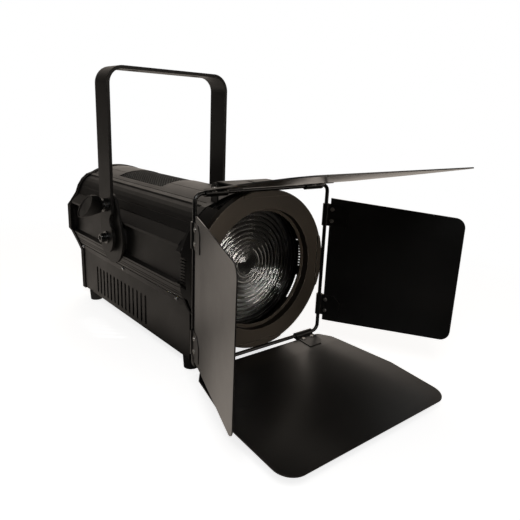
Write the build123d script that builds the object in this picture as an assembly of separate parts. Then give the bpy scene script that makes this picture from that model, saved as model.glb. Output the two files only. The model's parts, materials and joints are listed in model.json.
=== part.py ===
"""LED fresnel spotlight on a hanging yoke, with a rotating four-leaf barndoor.

All lengths are millimetres and +Z is up.  The beam leaves towards -Y.  While modelling, the zero point is
on the tilt axis; every sub-part is lowered by YOKE_TOP as it is written, so that the finished origin is the
centre of the clamp slots on the yoke's top face.
"""
from build123d import *

import os
from math import atan2, cos, hypot, pi, radians, sin

# ---------------------------------------------------------------- driving dimensions
YOKE_TOP = 293.0          # tilt axis to the yoke's top face
YOKE_HALF_WIDTH = 121.0   # tilt axis to the outside of an arm
STRAP_WIDTH = 48.0
STRAP_THICK = 5.4
STRAP_BEND = 30.0         # outside bend radius of the strap
CLAMP_SLOT_SPACING = 124.0
CLAMP_SLOT_LENGTH = 20.0
CLAMP_SLOT_WIDTH = 12.5

OPTIC_Z = -5.0            # height of the optical axis above the tilt axis
FRONT_Y = -247.0          # front face of the front casting
CASTING_BACK_Y = -228.0
REAR_FRAME_Y = 203.0      # front face of the rear frame
REAR_Y = 217.0            # back face of the rear frame
WALL = 2.5                # wall of the extruded panels
SHEET = 1.5               # wall of the folded base tray

BOX_HALF_WIDTH = 86.0
BOX_BOTTOM = -158.0
BOX_FRONT_Y = -226.0
FOOT_HEIGHT = 20.0
FLOOR_Z = BOX_BOTTOM - FOOT_HEIGHT
FOOT_X = 75.0
FOOT_YS = (-214.0, 174.0)

HUB_OUTER_X = 112.4       # outer face of the brake plates
PLATE_INNER_X = 108.0     # inner face of the brake plates
HUB_RADIUS = 48.0
KNOB_Y = -8.0
KNOB_Z = 60.0
STUD_RADIUS = 3.95

LATCH_Y = -238.0          # hinge pin of the accessory latch
LATCH_Z = 118.0

DOOR_RING_FRONT = -297.0
DOOR_RING_RADIUS = 124.0
DOOR_RING_APERTURE = 95.0
ROD_RADIUS = 3.0
ROD_HALF = 125.0          # half the side of the square rod frame, on the rod's centre line
ROD_Y = DOOR_RING_FRONT - ROD_RADIUS
ROD_BEND = 11.0
LEAF_THICK = 1.5
LARGE_OFFSET = 3.6        # large leaf to rod axis, the leaf lying outside the rod
SMALL_OFFSET = 0.0        # the small leaves lie in the plane of the rod's axis
LEFT_DOOR_DROP = 7.0      # the left door has slid down its rod by this much
TOP_DOOR_ANGLE = 10.2     # rest angles of the four doors, measured outwards from straight ahead
BOTTOM_DOOR_ANGLE = 4.4
LEFT_DOOR_ANGLE = 20.5
RIGHT_DOOR_ANGLE = 23.0

LENS_RADIUS = 95.0
LENS_FRONT_Y = -258.0
BARREL_RADIUS = 98.0
RUNNING = 0.05            # radial clearance of a running fit

GUIDE_ROD_RADIUS = 4.0
GUIDE_ROD_X = 72.0
GUIDE_ROD_Z = -58.0
GUIDE_FRONT_Y = -196.0
GUIDE_BACK_Y = 132.0
SCREW_RADIUS = 5.0
SCREW_Z = -80.0
LED_FACE_Y = -36.0        # front of the light source with the zoom at rest


# ---------------------------------------------------------------- small helpers
def block(x0, x1, y0, y1, z0, z1):
    """A rectangular block between two corners."""
    return Pos((x0 + x1) / 2, (y0 + y1) / 2, (z0 + z1) / 2) * Box(x1 - x0, y1 - y0, z1 - z0)


def rod_x(radius, x0, x1, y=0.0, z=0.0):
    return Pos((x0 + x1) / 2, y, z) * Rot(0, 90, 0) * Cylinder(radius, abs(x1 - x0))


def rod_y(radius, y0, y1, x=0.0, z=0.0):
    return Pos(x, (y0 + y1) / 2, z) * Rot(90, 0, 0) * Cylinder(radius, abs(y1 - y0))


def rod_z(radius, z0, z1, x=0.0, y=0.0):
    return Pos(x, y, (z0 + z1) / 2) * Cylinder(radius, abs(z1 - z0))


def tube_y(outer, inner, y0, y1, x=0.0, z=0.0):
    return rod_y(outer, y0, y1, x, z) - rod_y(inner, y0 - 1, y1 + 1, x, z)


def tube_x(outer, inner, x0, x1, y=0.0, z=0.0):
    return rod_x(outer, x0, x1, y, z) - rod_x(inner, x0 - 1, x1 + 1, y, z)


def prism_y(points, y0, y1):
    """A closed outline of (x, z) points, carried from y0 to y1."""
    wire = Polyline([(x, y0, z) for x, z in points], close=True)
    return extrude(make_face(wire), amount=y1 - y0, dir=(0, 1, 0))


def prism_x(points, x0, x1):
    """A closed outline of (y, z) points, carried from x0 to x1."""
    wire = Polyline([(x0, y, z) for y, z in points], close=True)
    return extrude(make_face(wire), amount=x1 - x0, dir=(1, 0, 0))


def mirrored(points):
    """A left-hand outline that starts and ends near x = 0, closed by its mirror image."""
    return points + [(-x, z) for x, z in reversed(points) if abs(x) > 1e-6]


def folded(points, thickness):
    """The outline of a wall along a line of (x, z) points, its thickness on the line's right-hand side."""
    inner = []
    for i, (x, z) in enumerate(points):
        before = points[max(i - 1, 0)], points[max(i, 1)]
        after = points[min(i, len(points) - 2)], points[min(i + 1, len(points) - 1)]
        normals = []
        for (ax, az), (bx, bz) in (before, after):
            length = hypot(bx - ax, bz - az)
            normals.append(((bz - az) / length, -(bx - ax) / length))
        nx, nz = normals[0][0] + normals[1][0], normals[0][1] + normals[1][1]
        scale = 2 * thickness / (nx * nx + nz * nz)
        inner.append((x + nx * scale, z + nz * scale))
    return points + inner[::-1]


def both_sides(shape):
    """The shape and its mirror image across x = 0, as separate solids."""
    return Compound(children=solids_of(shape) + solids_of(mirror(shape, about=Plane.YZ)))


def solids_of(shape):
    return list(shape.solids())


def group(*shapes):
    """Several solids kept apart in one sub-part."""
    return Compound(children=[s for shape in shapes for s in solids_of(shape)])


def turned_ring(points, z=OPTIC_Z):
    """A ring turned about the optical axis from (radius, y) points."""
    wire = Polyline([(r, y, 0) for r, y in points], close=True)
    return Pos(0, 0, z) * revolve(make_face(wire), axis=Axis.Y, revolution_arc=360)


def wedge_y(radius, centre_deg, half_deg, y0, y1, z=OPTIC_Z):
    """A pie slice about the optical axis, used to keep part of a ring."""
    a0, a1 = radians(centre_deg - half_deg), radians(centre_deg + half_deg)
    reach = radius / cos(radians(half_deg))
    points = [(0, z), (reach * cos(a0), z + reach * sin(a0)), (reach * cos(a1), z + reach * sin(a1))]
    return prism_y(points, y0, y1)


def save(name, shape):
    """Writes one sub-part, with its solids kept separate and the origin at the clamp slots."""
    solids = [s.moved(Location((0, 0, -YOKE_TOP))) for s in solids_of(shape)]
    export_step(solids[0] if len(solids) == 1 else Compound(children=solids), f"parts/{name}.step")


BOSS_RADIUS = 38.0
BOSS_FACE_X = 105.0       # outer face of the pivot bosses

# ---------------------------------------------------------------- outlines of the housing
SIDE_LINE = [(-57, 91.5), (-65.5, 89), (-67, 86), (-73, 82.5), (-78.5, 77.5), (-83, 71.5), (-86.5, 65),
             (-92.5, 50), (-107.6, 34), (-107.6, 30), (-99, 27.5), (-99, -25), (-105.5, -29), (-93, -57)]
SIDE_GROOVES = [(-86.5, 65), (-92.5, 50), (-103.0, -34.7), (-98.4, -45), (-96.2, -50)]
END_LINE = [(-56, 93), (-69, 88.5), (-80, 79), (-88.5, 66), (-94, 51), (-106, 33.5), (-112, 26),
            (-112, -24), (-107, -31), (-94.5, -60)]
COVER_RADIUS = 119.0      # outside of the curved top cover
COVER_CENTRE_Z = 105.5 - COVER_RADIUS
GRILLE_HALF_WIDTH = 47.0
GRILLE_Y = (-70.0, 101.0)


def crown(radius, half_width, steps=12):
    """Points along the curved top, from the left edge to the middle, centre line included."""
    edge = atan2(half_width, (radius ** 2 - half_width ** 2) ** 0.5)
    return [(-radius * sin(edge * (1 - i / steps)), COVER_CENTRE_Z + radius * cos(edge * (1 - i / steps)))
            for i in range(steps + 1)]


def end_outline(inset=0.0, bottom=None):
    """The full outline of an end casting, optionally carried down to a lower edge."""
    line = [(x * (1 - inset / 112), z - inset * (1 if z > 0 else -1) * 0.8) for x, z in END_LINE]
    if bottom is not None:
        line = line + [(-(88.5 - inset), -76), (-(88 - inset), bottom)]
    top = crown(COVER_RADIUS + 1.5 - inset, 55 * (1 - inset / 112))
    return mirrored([(0, line[-1][1])] + line[::-1] + top[1:])


CHEEK_X = 108.0           # outer face of the ribbed cheeks at the front end of the side channels
CHEEK_BACK_Y = -234.0
CHEEK_FRONT_Y = -265.0
CHEEK_FLOOR_X = 101.0
CHEEK_TOP, CHEEK_BOTTOM = 21.0, -24.0
RIB_PITCH, RIB_HEIGHT = 4.8, 2.8


def cheek_ribs(y0, y1):
    """Horizontal ribs of one cheek, on the right-hand side, between two places along the beam."""
    count = int((CHEEK_TOP - CHEEK_BOTTOM) / RIB_PITCH) + 1
    heights = [CHEEK_BOTTOM + i * RIB_PITCH for i in range(count)]
    return [block(CHEEK_FLOOR_X - 1, CHEEK_X, y0, y1, z, z + RIB_HEIGHT) for z in heights]


# ---------------------------------------------------------------- housing shells
def side_panel():
    """Left extruded side panel: a faceted shoulder over a recessed channel and a lower ledge."""
    panel = prism_y(folded(SIDE_LINE[::-1], WALL), CASTING_BACK_Y + 0.2, REAR_FRAME_Y - 0.2)
    for x, z in SIDE_GROOVES:
        panel -= rod_y(0.9, CASTING_BACK_Y, REAR_FRAME_Y, x, z)
    return panel - rod_x(BOSS_RADIUS + 0.05, -120, -80)


def top_cover():
    """Curved cover between the side panels, with a window for the air grille and two pressed lines."""
    left, y0, y1 = 55.5, CASTING_BACK_Y + 0.2, REAR_FRAME_Y - 0.2
    shell = Pos(0, 0, COVER_CENTRE_Z) * tube_y(COVER_RADIUS, COVER_RADIUS - WALL, y0, y1)
    cover = shell & block(-left, left, y0, y1, 60, 130)
    cover -= block(-GRILLE_HALF_WIDTH, GRILLE_HALF_WIDTH, GRILLE_Y[0], GRILLE_Y[1], 60, 130)
    for x in (-30, 30):
        z = COVER_CENTRE_Z + (COVER_RADIUS ** 2 - x ** 2) ** 0.5
        cover -= block(x - 0.5, x + 0.5, y0, y1, z - 0.7, z + 2)
    return cover


def top_grille():
    """Perforated plate just under the cover's window."""
    hole_radius, pitch = 3.0, 9.0
    radius = COVER_RADIUS - 0.6
    y0, y1 = GRILLE_Y[0] + 0.3, GRILLE_Y[1] - 0.3
    half = GRILLE_HALF_WIDTH - 0.3
    sheet = Pos(0, 0, COVER_CENTRE_Z) * tube_y(radius, radius - SHEET, y0, y1)
    plate = sheet & block(-half, half, y0, y1, 60, 130)
    columns, rows = int(2 * half / pitch), int((y1 - y0) / (pitch * 0.866))
    holes = Sketch()
    for row in range(rows):
        shift = pitch / 2 if row % 2 else 0
        for column in range(columns):
            x = (column - (columns - 1) / 2) * pitch + shift - pitch / 4
            y = (y0 + y1) / 2 + (row - (rows - 1) / 2) * pitch * 0.866
            holes += Pos(x, y) * Circle(hole_radius)
    return plate - Pos(0, 0, 60) * extrude(holes, amount=70)


def front_casting():
    """Front casting: the housing's outline running into a round rim, with ribbed cheeks in the channels."""
    rim_radius, bore = 107.0, BARREL_RADIUS + 0.1
    body = prism_y(end_outline(), FRONT_Y + 7, CASTING_BACK_Y)
    body += rod_y(rim_radius, FRONT_Y, CASTING_BACK_Y, 0, OPTIC_Z)
    body -= rod_y(bore, FRONT_Y - 1, CASTING_BACK_Y + 1, 0, OPTIC_Z)
    channel = block(-113, -CHEEK_FLOOR_X, FRONT_Y - 1, CASTING_BACK_Y + 1, CHEEK_BOTTOM + 1, CHEEK_TOP + 3)
    body -= both_sides(channel)
    for rib in cheek_ribs(FRONT_Y, CHEEK_BACK_Y):
        body += rib
        body += mirror(rib, about=Plane.YZ)
    return body


def rear_frame():
    """Rear frame: a deep rim round the back of the housing that holds the rear panel."""
    frame = prism_y(end_outline(0, BOX_BOTTOM - 2), REAR_FRAME_Y, REAR_Y)
    return frame - prism_y(end_outline(7, BOX_BOTTOM + 5), REAR_FRAME_Y - 1, REAR_Y + 1)


def rear_panel():
    """Flat rear panel with openings for the display, buttons, sockets, zoom shaft and fan."""
    y0, y1 = REAR_Y - 6, REAR_Y - 3
    panel = prism_y(end_outline(7.3, BOX_BOTTOM + 5.3), y0, y1)
    panel -= block(-DISPLAY_HALF, DISPLAY_HALF, y0 - 1, y1 + 1, DISPLAY_Z - 11, DISPLAY_Z + 11)
    for x in BUTTON_XS:
        panel -= rod_y(BUTTON_RADIUS + 0.2, y0 - 1, y1 + 1, x, BUTTON_Z)
    for x, z, radius in SOCKETS.values():
        panel -= rod_y(radius + 0.1, y0 - 1, y1 + 1, x, z)
    panel -= rod_y(SCREW_RADIUS + 1, y0 - 1, y1 + 1, 0, SCREW_Z)
    for ring in range(4):
        outer = 9 + ring * 5.5
        slot = tube_y(outer, outer - 3.2, y0 - 1, y1 + 1, 0, FAN_Z)
        for a in (45, 135):
            slot -= Pos(0, 0, FAN_Z) * Rot(0, a, 0) * block(-40, 40, y0 - 2, y1 + 2, -1.5, 1.5)
        panel -= slot
    return panel


def base_tray():
    """Folded base tray: sloped upper flange, slotted sides, closed front."""
    side = [(-91.5, -59.5), (-87.5, -68), (-BOX_HALF_WIDTH, -72), (-BOX_HALF_WIDTH, BOX_BOTTOM)]
    outer = side + [(-x, z) for x, z in side[::-1]]
    tray = prism_y(folded(outer[::-1], SHEET), BOX_FRONT_Y, REAR_FRAME_Y - 0.2)
    inner = BOX_HALF_WIDTH - 1
    tray += block(-inner, inner, BOX_FRONT_Y, BOX_FRONT_Y + SHEET, BOX_BOTTOM + 0.5, -64)
    tray -= rod_y(BARREL_RADIUS + 0.3, BOX_FRONT_Y - 1, BOX_FRONT_Y + 3, 0, OPTIC_Z)
    slots, pitch, width, last_y, low, high = 14, 16.4, 7.0, 135.0, -146.5, -97.5
    for i in range(slots):
        y = last_y - i * pitch
        tray -= block(-95, 95, y - width / 2, y + width / 2, low, high)
        for x in (-BOX_HALF_WIDTH, BOX_HALF_WIDTH):
            tray -= rod_x(width / 2, x - 3, x + 3, y, high)
            tray -= rod_x(width / 2, x - 3, x + 3, y, low)
    return tray


def feet():
    """Four tapered rubber feet."""
    top, bottom = 13.5, 12.0
    foot = Pos(0, 0, FLOOR_Z + FOOT_HEIGHT / 2) * Cone(bottom, top, FOOT_HEIGHT)
    return group(*[Pos(x, y, 0) * foot for x in (-FOOT_X, FOOT_X) for y in FOOT_YS])


def housing_screws():
    """Pan-head screws along the tray's flange."""
    screws = []
    for y in (196, 2, -193):
        cross = Box(3.6, 0.9, 1.2) + Box(0.9, 3.6, 1.2)
        head = Pos(0, 0, 1.15) * Cylinder(3.2, 2.2) - Pos(0, 0, 2.0) * cross
        screws.append(Pos(-89.5, y, -63.75) * Rot(0, -115.2, 0) * head)
    return both_sides(group(*screws))


def tilt_bosses():
    """Flanged bosses through the side panels that carry the pivots and the friction rings."""
    boss = rod_x(BOSS_RADIUS, -93.9, -BOSS_FACE_X) + rod_x(BOSS_RADIUS + 2, -93.9, -96.4)
    boss += rod_x(14, -BOSS_FACE_X + 1, -HUB_OUTER_X + 1)
    return both_sides(boss - rod_x(5.05, -HUB_OUTER_X - 1, -96.5))


def friction_rings():
    """Fibre rings between the bosses and the brake plates."""
    return both_sides(tube_x(37, 16, -PLATE_INNER_X + 0.05, -BOSS_FACE_X - 0.05))


def pivot_bolts():
    """Socket-head pivot bolts."""
    bolt = rod_x(5.0, -YOKE_HALF_WIDTH - 2.1, -96.6) + rod_x(8, -YOKE_HALF_WIDTH - 12, -YOKE_HALF_WIDTH - 2.1)
    corners = [(4.6 * cos(radians(a)), 4.6 * sin(radians(a))) for a in range(0, 360, 60)]
    socket = prism_x(corners, -YOKE_HALF_WIDTH - 13, -YOKE_HALF_WIDTH - 6)
    bolt = chamfer(bolt.edges().filter_by(GeomType.CIRCLE).sort_by(Axis.X)[0], 1.0) - socket
    return both_sides(bolt)


def pivot_washers():
    """Flat washers between the bolt heads and the yoke arms."""
    return both_sides(tube_x(11, 5.05, -YOKE_HALF_WIDTH - 2.05, -YOKE_HALF_WIDTH - 0.05))


# ---------------------------------------------------------------- yoke and tilt lock
def yoke_strap():
    """Bent strap yoke: two arms with a notched neck and a round end, and two clamp slots on top."""
    half, low = YOKE_HALF_WIDTH, -40
    outer = Pos(0, 0, (YOKE_TOP + low) / 2) * Box(2 * half, STRAP_WIDTH + 20, YOKE_TOP - low)
    outer = fillet(outer.edges().filter_by(Axis.Y).group_by(Axis.Z)[-1], STRAP_BEND)
    inner_half, inner_top = half - STRAP_THICK, YOKE_TOP - STRAP_THICK
    inner = block(-inner_half, inner_half, -STRAP_WIDTH, STRAP_WIDTH, low - 20, inner_top)
    inner = fillet(inner.edges().filter_by(Axis.Y).group_by(Axis.Z)[-1], STRAP_BEND - STRAP_THICK)
    end_radius, notch = 27.0, rod_x(14, -200, 200, -29, 33)
    shape = block(-half - 1, half + 1, -STRAP_WIDTH / 2, STRAP_WIDTH / 2, 0, YOKE_TOP + 1)
    shape += rod_x(end_radius, -half - 1, half + 1)
    strap = (outer - inner) & (shape - notch)
    strap -= rod_x(5.0 + RUNNING, -200, 200)
    strap -= rod_x(STUD_RADIUS + RUNNING, -200, 200, KNOB_Y, KNOB_Z)
    slot = extrude(SlotOverall(CLAMP_SLOT_LENGTH, CLAMP_SLOT_WIDTH), amount=20)
    for x in (-CLAMP_SLOT_SPACING / 2, CLAMP_SLOT_SPACING / 2):
        strap -= Pos(x, 0, YOKE_TOP - 12) * slot
    return strap


def brake_plates():
    """Teardrop plates behind the arms: the disc bears on the friction ring, the neck takes the stud."""
    x1 = -PLATE_INNER_X
    disc = rod_x(HUB_RADIUS, -HUB_OUTER_X, x1)
    neck_radius, lean = 19.0, atan2(KNOB_Y, KNOB_Z)
    span = hypot(KNOB_Y, KNOB_Z)
    swing = pi / 2 - atan2((HUB_RADIUS - neck_radius), span)
    tangent = []
    for centre_y, centre_z, radius in ((0, 0, HUB_RADIUS), (KNOB_Y, KNOB_Z, neck_radius)):
        for side in (-1, 1):
            angle = lean + side * swing
            tangent.append((centre_y + radius * sin(angle), centre_z + radius * cos(angle)))
    web = prism_x([tangent[0], tangent[1], tangent[3], tangent[2]], -HUB_OUTER_X, x1)
    plate = disc + web + rod_x(neck_radius, -HUB_OUTER_X, x1, KNOB_Y, KNOB_Z)
    plate += tube_x(20, 14 + RUNNING, -YOKE_HALF_WIDTH + STRAP_THICK, -HUB_OUTER_X)
    plate -= rod_x(14 + RUNNING, -HUB_OUTER_X - 10, x1 + 1)
    return both_sides(plate - rod_x(STUD_RADIUS + RUNNING, -HUB_OUTER_X - 1, x1 + 1, KNOB_Y, KNOB_Z))


def lock_knob(side):
    """Long oval clamping knob: an oval face with a raised rim that runs down to a round hub."""
    face_x, hub_x = YOKE_HALF_WIDTH + 40, YOKE_HALF_WIDTH + 14
    half_length, half_width, hub_radius, lean, rim = 40.0, 12.0, 12.5, 32.0, 2.2
    face = Plane(origin=(face_x, KNOB_Y, KNOB_Z), x_dir=(0, -1, 0), z_dir=(1, 0, 0)) * Rot(0, 0, -lean)
    hub = Plane(origin=(hub_x, KNOB_Y, KNOB_Z), x_dir=(0, -1, 0), z_dir=(1, 0, 0)) * Rot(0, 0, -lean)
    waist = Plane(origin=(face_x - 8, KNOB_Y, KNOB_Z), x_dir=(0, -1, 0), z_dir=(1, 0, 0)) * Rot(0, 0, -lean)
    knob = loft([hub * Ellipse(hub_radius + 3, hub_radius),
                 waist * Ellipse(half_length - 3, half_width + 0.8),
                 face * Ellipse(half_length, half_width)])
    knob -= extrude(face * Ellipse(half_length - rim, half_width - rim), amount=-1.2)
    knob -= rod_x(4.0, hub_x - 1, hub_x + 18, KNOB_Y, KNOB_Z)
    return knob if side > 0 else mirror(knob, about=Plane.YZ)


def lock_stud(side):
    """Threaded stud, thrust collar and washer of one lock knob."""
    hub_x = YOKE_HALF_WIDTH + 14
    stud = rod_x(STUD_RADIUS, HUB_OUTER_X - 4, hub_x + 17, KNOB_Y, KNOB_Z)
    collar = rod_x(11.5, YOKE_HALF_WIDTH + 0.1, YOKE_HALF_WIDTH + 8, KNOB_Y, KNOB_Z)
    collar += rod_x(8, YOKE_HALF_WIDTH + 7, hub_x - 0.1, KNOB_Y, KNOB_Z)
    stud += collar
    return stud if side > 0 else mirror(stud, about=Plane.YZ)


# ---------------------------------------------------------------- lens and accessory holder
def lens_barrel():
    """Black tube that carries the lens in the front casting."""
    return turned_ring([(BARREL_RADIUS, -264), (BARREL_RADIUS, -229), (BARREL_RADIUS - 2.5, -229),
                        (BARREL_RADIUS - 2.5, -245), (91, -245), (91, -247), (BARREL_RADIUS - 2.8, -247),
                        (BARREL_RADIUS - 2.8, -264)])


def fresnel_lens():
    """Stepped lens: flat back, a convex centre and ring after ring of curved steps in front."""
    back_y, rings, centre = LENS_FRONT_Y + 10.5, 11, 20.0
    pitch = (LENS_RADIUS - 3 - centre) / rings
    rim_y = LENS_FRONT_Y + 5.5
    points = [(0, back_y), (LENS_RADIUS, back_y), (LENS_RADIUS, rim_y), (LENS_RADIUS - 3, rim_y)]
    for i in range(rings):
        outer = LENS_RADIUS - 3 - i * pitch
        inner = outer - pitch
        points.append((outer, LENS_FRONT_Y + 4.6))
        points.append(((outer + inner) / 2, LENS_FRONT_Y + 2.2))
        points.append((inner + 0.01, LENS_FRONT_Y + 0.6))
    for share, depth in ((1.0, 3.4), (0.66, 1.6), (0.33, 0.4), (0.0, 0.0)):
        points.append((centre * share, LENS_FRONT_Y + depth))
    return turned_ring(points)


def lens_retaining_ring():
    """Ring in front of the lens rim."""
    back_y = LENS_FRONT_Y + 5.3
    return turned_ring([(94.9, -261.5), (94.9, back_y), (92.3, back_y), (92.3, -261.5)])


def accessory_holder():
    """Channel ring, open at the top, that an accessory flange drops into.

    Two narrow windows pierce its lower wall, and the wall stands back at the sides to show the ribbed cheeks.
    """
    base = turned_ring([(106, FRONT_Y - 0.1), (106, FRONT_Y - 3), (98.2, FRONT_Y - 3), (98.2, FRONT_Y - 0.1)])
    channel = turned_ring([(98.2, -247.1), (118, -247.1), (118, -278), (106, -278), (106, -276), (116, -276),
                           (116, -250), (98.2, -250)])
    mouth = wedge_y(125, 90, 36, -280, -246)
    window_ring = tube_y(121, 110, -262, -252.8, 0, OPTIC_Z)
    for angle in (-28, 208):
        channel -= window_ring & wedge_y(125, angle, 10.3, -264, -251)
    recess = block(-120, -104, CHEEK_FRONT_Y - 0.5, FRONT_Y, CHEEK_BOTTOM - 0.5, CHEEK_TOP + 0.5)
    channel -= both_sides(recess)
    holder = base + (channel - mouth)
    back_y = FRONT_Y - 0.1
    floor = block(CHEEK_FLOOR_X - 1, CHEEK_FLOOR_X + 1.5, CHEEK_FRONT_Y, back_y, CHEEK_BOTTOM, CHEEK_TOP)
    for piece in [floor] + cheek_ribs(CHEEK_FRONT_Y, back_y):
        holder += piece
        holder += mirror(piece, about=Plane.YZ)
    return holder


def latch_bracket():
    """Two ears on top of the front casting that carry the latch pin."""
    y0, y1, under = -246, -230, COVER_RADIUS + 1.6
    sheet = Pos(0, 0, COVER_CENTRE_Z) * tube_y(under + 1.6, under, y0, y1)
    bracket = block(-52.5, 52.5, y0, y1, 92, 109) & sheet
    inside = rod_y(under, y0 - 1, y1 + 1, 0, COVER_CENTRE_Z)
    for x in (-51, 51):
        ear = block(x - 1.5, x + 1.5, y0, y1, 92, 119) + rod_x(6, x - 1.5, x + 1.5, LATCH_Y, LATCH_Z)
        bracket += ear - inside
    return bracket - rod_x(2.5, -60, 60, LATCH_Y, LATCH_Z)


def accessory_latch():
    """Top latch with its hinge pin: one plate with a split front that bars the accessory slot."""
    plate = block(-48, 48, -288, -238, 123.5, 125.5) + block(-48, 48, -288, -286, 121, 125.5)
    plate -= block(-3, 3, -290, -250, 110, 130)
    barrel = rod_x(4.5, -48, 48, LATCH_Y, LATCH_Z) + rod_x(2.45, -55, 55, LATCH_Y, LATCH_Z)
    back = block(-48, 48, -242.4, -240, LATCH_Z, 125.5) + barrel
    return plate + back


# ---------------------------------------------------------------- rotating barndoor
def barndoor_ring():
    """Flat front ring with turned-back edges, a rear flange that runs in the holder and four strips."""
    f = DOOR_RING_FRONT
    ring = turned_ring([(DOOR_RING_APERTURE, f), (DOOR_RING_RADIUS, f), (DOOR_RING_RADIUS, f + 11),
                        (DOOR_RING_RADIUS - 2, f + 11), (DOOR_RING_RADIUS - 2, f + 2), (97, f + 2),
                        (97, f + 12), (103, f + 12), (103, f + 14), (90, f + 14), (90, f + 12),
                        (DOOR_RING_APERTURE, f + 12)])
    flange_y = f + 25.5
    ring += turned_ring([(101, f + 13), (103, f + 13), (103, flange_y - 2), (113, flange_y - 2),
                         (113, flange_y), (101, flange_y)])
    strip = block(-42, 42, f - 2, f + 1, ROD_HALF - ROD_RADIUS - 9, ROD_HALF - ROD_RADIUS - 0.1)
    strip &= rod_y(DOOR_RING_RADIUS - 0.5, f - 3, f + 1)
    for angle in (0, 90, 180, 270):
        ring += Pos(0, 0, OPTIC_Z) * Rot(0, angle, 0) * strip
    return ring


def rod_frame():
    """Square frame of round rod with bent corners."""
    square = RectangleRounded(2 * ROD_HALF, 2 * ROD_HALF, ROD_BEND).wire()
    path = Pos(0, ROD_Y, OPTIC_Z) * Rot(90, 0, 0) * square
    start = path @ 0
    section = Plane(origin=start, z_dir=path % 0) * Circle(ROD_RADIUS)
    return sweep(section, path=path)


LARGE_LEAF = [(8, 119), (28, 134), (136, 157), (240, 157)]
SMALL_LEAF = [(8, 104.5), (214, 95)]
CREASE, CREASE_ANGLE = 42.0, 1.2
BRACKET_LENGTH, BRACKET_REACH = 36.0, 37.0
LARGE_BRACKETS, SMALL_BRACKETS = 92.0, 77.0
RIVET_REACH = 12.0        # rod axis to the rivets through a leaf
RIVET_SPREAD = 9.5        # clip middle to each of its two rivets


def on_hinge(shape, side_deg, open_deg):
    """Places a door part, built along +Y from a hinge line on X, on one side of the rod frame.

    side_deg turns it round the optical axis from the top; open_deg opens it outwards from straight ahead.
    """
    opened = Rot(-open_deg, 0, 0) * (Rot(0, 0, 180) * shape)
    return Pos(0, ROD_Y, OPTIC_Z) * Rot(0, side_deg, 0) * (Pos(0, 0, ROD_HALF) * opened)


def leaf(outline, hinge_round, outer_round):
    """Creased sheet leaf in the XY plane, with +Y away from the hinge and +Z its outer face."""
    points = [(x, u) for u, x in outline]
    full = points + [(-x, u) for x, u in reversed(points)]
    face = make_face(Polyline([(x, u) for x, u in full], close=True))
    corners = face.vertices().group_by(Axis.Y)
    face = fillet(corners[-1], outer_round)
    if hinge_round:
        face = fillet(face.vertices().group_by(Axis.Y)[0], hinge_round)
    reach = outline[-1][0] + 20
    rise = (reach - CREASE) * sin(radians(CREASE_ANGLE))
    half = LEAF_THICK / 2
    section = [(0, -half), (CREASE, -half), (reach, rise - half), (reach, rise + half), (CREASE, half),
               (0, half)]
    return prism_x(section, -200, 200) & Pos(0, 0, -20) * extrude(face, amount=60)


def rivet_spots(offset):
    return [(side * offset + dx, RIVET_REACH) for side in (-1, 1) for dx in (-RIVET_SPREAD, RIVET_SPREAD)]


def drilled_leaf(outline, lift, offset, hinge_round, outer_round):
    sheet = leaf(outline, hinge_round, outer_round)
    for x, u in rivet_spots(offset):
        sheet -= Pos(x, u, 0) * Cylinder(2.05, 20)
    return Pos(0, 0, lift) * sheet


def door_brackets(lift, offset, cut_side):
    """Two folded clips: a sleeve round the rod and a flange on each face of the leaf.

    Each flange has one corner cut off, on the side that cut_side gives: 1 or -1 along local X, or 0 for
    the outer ends.
    """
    half, flange, cut = BRACKET_LENGTH / 2, 1.2, 11.0
    inner = LEAF_THICK / 2 + 0.02
    clips = []
    for side in (-1, 1):
        x = side * offset
        way = cut_side or side
        sleeve = tube_x(5.2, ROD_RADIUS + RUNNING, x - half, x + half)
        tip = [(x + way * half, BRACKET_REACH - cut), (x + way * (half - cut), BRACKET_REACH),
               (x - way * half, BRACKET_REACH)]
        for start, z in ((3.6 - lift, lift + inner), (3.6, lift - inner - flange)):
            outline = [(x - way * half, start), (x + way * half, start)] + tip
            cheek = make_face(Polyline([(a, b) for a, b in outline], close=True))
            sleeve += Pos(0, 0, z) * extrude(cheek, amount=flange)
        sleeve += block(x - half, x + half, 3.6, 7.5, lift - inner - 0.5, lift + inner + 0.5)
        clip = sleeve - rod_x(ROD_RADIUS + RUNNING, x - 50, x + 50)
        for rx, ru in rivet_spots(offset):
            clip -= Pos(rx, ru, 0) * Cylinder(2.05, 20)
        clips.append(clip)
    return group(*clips)


def door_rivets(lift, offset):
    """Domed rivets through each clip and leaf."""
    top = LEAF_THICK / 2 + 0.02 + 1.2 + 0.02
    rivets = []
    for x, u in rivet_spots(offset):
        head = Pos(0, 0, top + 0.7) * Cylinder(3.4, 1.4)
        head = fillet(head.edges().group_by(Axis.Z)[-1], 1.0)
        rivet = Cylinder(2.0, 2 * top) + head + mirror(head, about=Plane.XY)
        rivets.append(Pos(x, u, lift) * rivet)
    return group(*rivets)


# ---------------------------------------------------------------- light engine and zoom
def engine_plate(y, thickness):
    """Cross plate under the beam that holds the guide rods and the zoom screw."""
    outline = [(0, -92), (-84.3, -92), (-84.3, -60), (-88, -50), (-88, -30), (0, -30)]
    plate = prism_y(mirrored(outline), y, y + thickness) - rod_y(68, y - 1, y + thickness + 1, 0, OPTIC_Z)
    for x in (-GUIDE_ROD_X, GUIDE_ROD_X):
        plate -= rod_y(GUIDE_ROD_RADIUS + 0.02, y - 1, y + thickness + 1, x, GUIDE_ROD_Z)
    return plate - rod_y(SCREW_RADIUS + RUNNING, y - 1, y + thickness + 1, 0, SCREW_Z)


def engine_plates():
    return group(engine_plate(GUIDE_FRONT_Y, 4), engine_plate(GUIDE_BACK_Y - 4, 4))


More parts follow.
